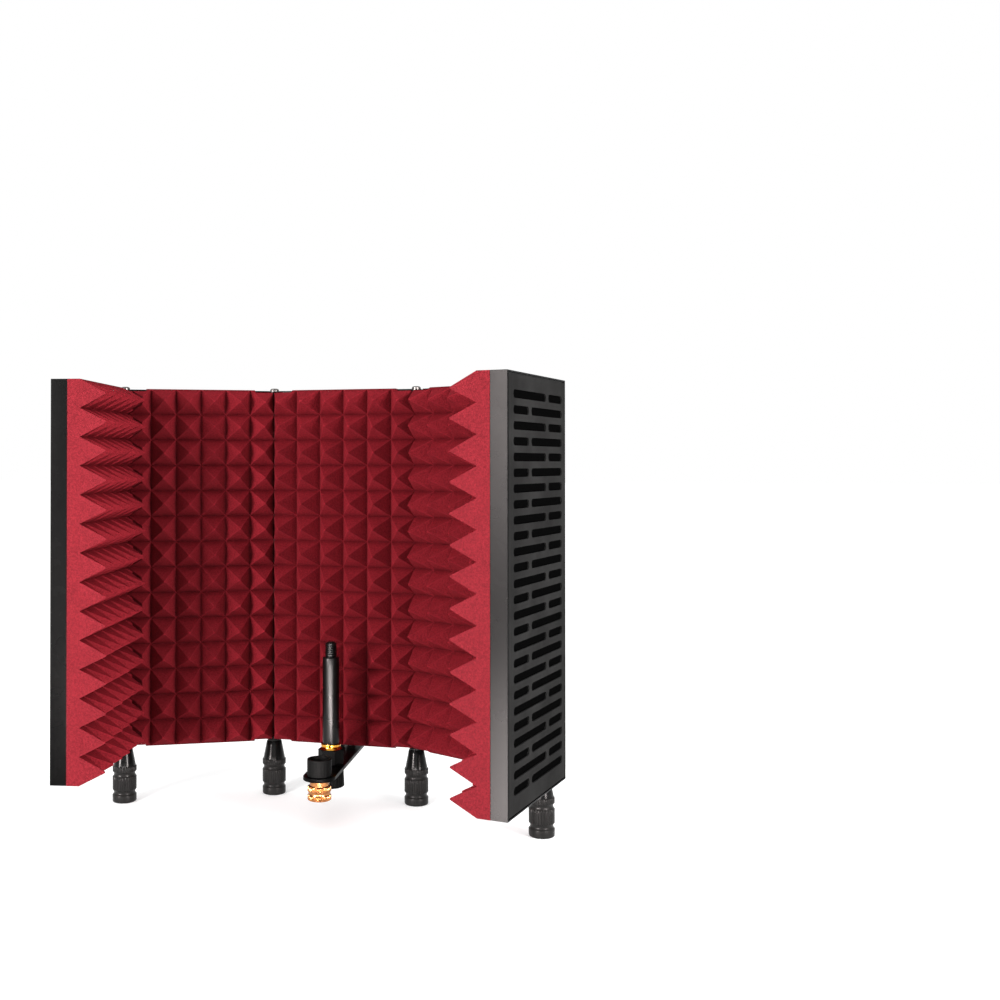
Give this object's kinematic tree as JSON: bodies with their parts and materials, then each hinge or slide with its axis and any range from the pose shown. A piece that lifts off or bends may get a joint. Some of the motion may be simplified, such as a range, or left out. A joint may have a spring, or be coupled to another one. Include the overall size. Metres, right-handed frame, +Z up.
{
  "type": "microphone isolation shield",
  "caption": "Folding shield of foam-lined slotted panels on hinge bolts with knurled feet, and a swinging arm with a microphone rod and a stand adapter.",
  "frame": {"origin": "on the surface it stands on, below the middle of its box", "axes": "+Z up, -Y towards the singer (the open side), +X to the right of someone looking into it"},
  "size_m": [0.4006, 0.2094, 0.359],
  "materials": {
    "frame_black": "satin powder coat",
    "grille_black": "satin powder coat",
    "black_felt": "matt felt",
    "grey_batt": "polyester wadding",
    "black_board": "matt",
    "red_foam": "open-cell foam",
    "bright_steel": "nickel plated",
    "foot_black": "black anodised",
    "arm_black": "satin black",
    "rod_black": "satin black",
    "knob_black": "black anodised",
    "gold_brass": "polished",
    "copper_brass": "knurled, satin"
  },
  "bodies": {
    "middle_panel": {"tray_frame_3": "frame_black", "grille_3": "grille_black", "felt_liner_3": "black_felt", "absorber_batt_3": "grey_batt", "backer_board_3": "black_board", "pyramid_foam_3": "red_foam", "hinge_ears_3": "frame_black", "hinge_bolt_2": "bright_steel", "bolt_washer_2": "bright_steel", "hinge_bolt_3": "bright_steel", "bolt_washer_3": "bright_steel", "pivot_spacer": "black_board", "pivot_screw": "bright_steel", "weld_nut": "bright_steel"},
    "inner_left": {"tray_frame_2": "frame_black", "grille_2": "grille_black", "felt_liner_2": "black_felt", "absorber_batt_2": "grey_batt", "backer_board_2": "black_board", "pyramid_foam_2": "red_foam", "hinge_ears_2": "frame_black", "hinge_bolt_1": "bright_steel", "bolt_washer_1": "bright_steel"},
    "left_wing": {"tray_frame_1": "frame_black", "grille_1": "grille_black", "felt_liner_1": "black_felt", "absorber_batt_1": "grey_batt", "backer_board_1": "black_board", "pyramid_foam_1": "red_foam", "hinge_ears_1": "frame_black"},
    "inner_right": {"tray_frame_4": "frame_black", "grille_4": "grille_black", "felt_liner_4": "black_felt", "absorber_batt_4": "grey_batt", "backer_board_4": "black_board", "pyramid_foam_4": "red_foam", "hinge_ears_4": "frame_black", "hinge_bolt_4": "bright_steel", "bolt_washer_4": "bright_steel"},
    "right_wing": {"tray_frame_5": "frame_black", "grille_5": "grille_black", "felt_liner_5": "black_felt", "absorber_batt_5": "grey_batt", "backer_board_5": "black_board", "pyramid_foam_5": "red_foam", "hinge_ears_5": "frame_black"},
    "foot_1_turn": {"foot_1": "foot_black"},
    "foot_2_turn": {"foot_2": "foot_black"},
    "foot_3_turn": {"foot_3": "foot_black"},
    "foot_4_turn": {"foot_4": "foot_black"},
    "arm": {"arm_plate": "arm_black"},
    "mic_rod": {"mic_rod": "rod_black", "rod_ring": "gold_brass", "rod_nut": "knob_black"},
    "rod_knob": {"rod_knob": "knob_black"},
    "stand_adapter": {"stand_adapter": "copper_brass"},
    "cup_nut": {"cup_nut": "knob_black"}
  },
  "joints": [
    {"name": "inner_left_fold", "type": "hinge", "parent": "middle_panel", "child": "inner_left", "pos_m": [-0.065, 0.08473, 0.2022], "axis": [0, 0, 1], "range_deg": [-27, 1]},
    {"name": "inner_right_fold", "type": "hinge", "parent": "middle_panel", "child": "inner_right", "pos_m": [0.065, 0.08473, 0.2022], "axis": [0, 0, -1], "range_deg": [-27, 1]},
    {"name": "left_wing_fold", "type": "hinge", "parent": "inner_left", "child": "left_wing", "pos_m": [-0.18083, 0.02571, 0.2022], "axis": [0, 0, 1], "range_deg": [-74, 1]},
    {"name": "right_wing_fold", "type": "hinge", "parent": "inner_right", "child": "right_wing", "pos_m": [0.18083, 0.02571, 0.2022], "axis": [0, 0, -1], "range_deg": [-74, 1]},
    {"name": "foot_1_screw", "type": "hinge", "parent": "inner_left", "child": "foot_1_turn", "pos_m": [-0.18083, 0.02571, 0.0242], "axis": [0, 0, 1], "continuous": true},
    {"name": "foot_2_screw", "type": "hinge", "parent": "middle_panel", "child": "foot_2_turn", "pos_m": [-0.065, 0.08473, 0.0242], "axis": [0, 0, 1], "continuous": true},
    {"name": "foot_3_screw", "type": "hinge", "parent": "middle_panel", "child": "foot_3_turn", "pos_m": [0.065, 0.08473, 0.0242], "axis": [0, 0, 1], "continuous": true},
    {"name": "foot_4_screw", "type": "hinge", "parent": "inner_right", "child": "foot_4_turn", "pos_m": [0.18083, 0.02571, 0.0242], "axis": [0, 0, 1], "continuous": true},
    {"name": "arm_swivel", "type": "hinge", "parent": "middle_panel", "child": "arm", "pos_m": [0, 0.09723, 0.0427], "axis": [0, 0, 1], "range_deg": [-44.7, 35.3]},
    {"name": "rod_turn", "type": "hinge", "parent": "arm", "child": "mic_rod", "pos_m": [0.00553, 0.02996, 0.0872], "axis": [0, 0, 1], "continuous": true},
    {"name": "knob_turn", "type": "hinge", "parent": "mic_rod", "child": "rod_knob", "pos_m": [0.00553, 0.02996, 0.0332], "axis": [0, 0, 1], "continuous": true},
    {"name": "adapter_turn", "type": "hinge", "parent": "arm", "child": "stand_adapter", "pos_m": [0.00881, -0.00991, 0.0352], "axis": [0, 0, 1], "continuous": true},
    {"name": "cup_nut_turn", "type": "hinge", "parent": "stand_adapter", "child": "cup_nut", "pos_m": [0.00881, -0.00991, 0.0512], "axis": [0, 0, 1], "continuous": true}
  ]
}
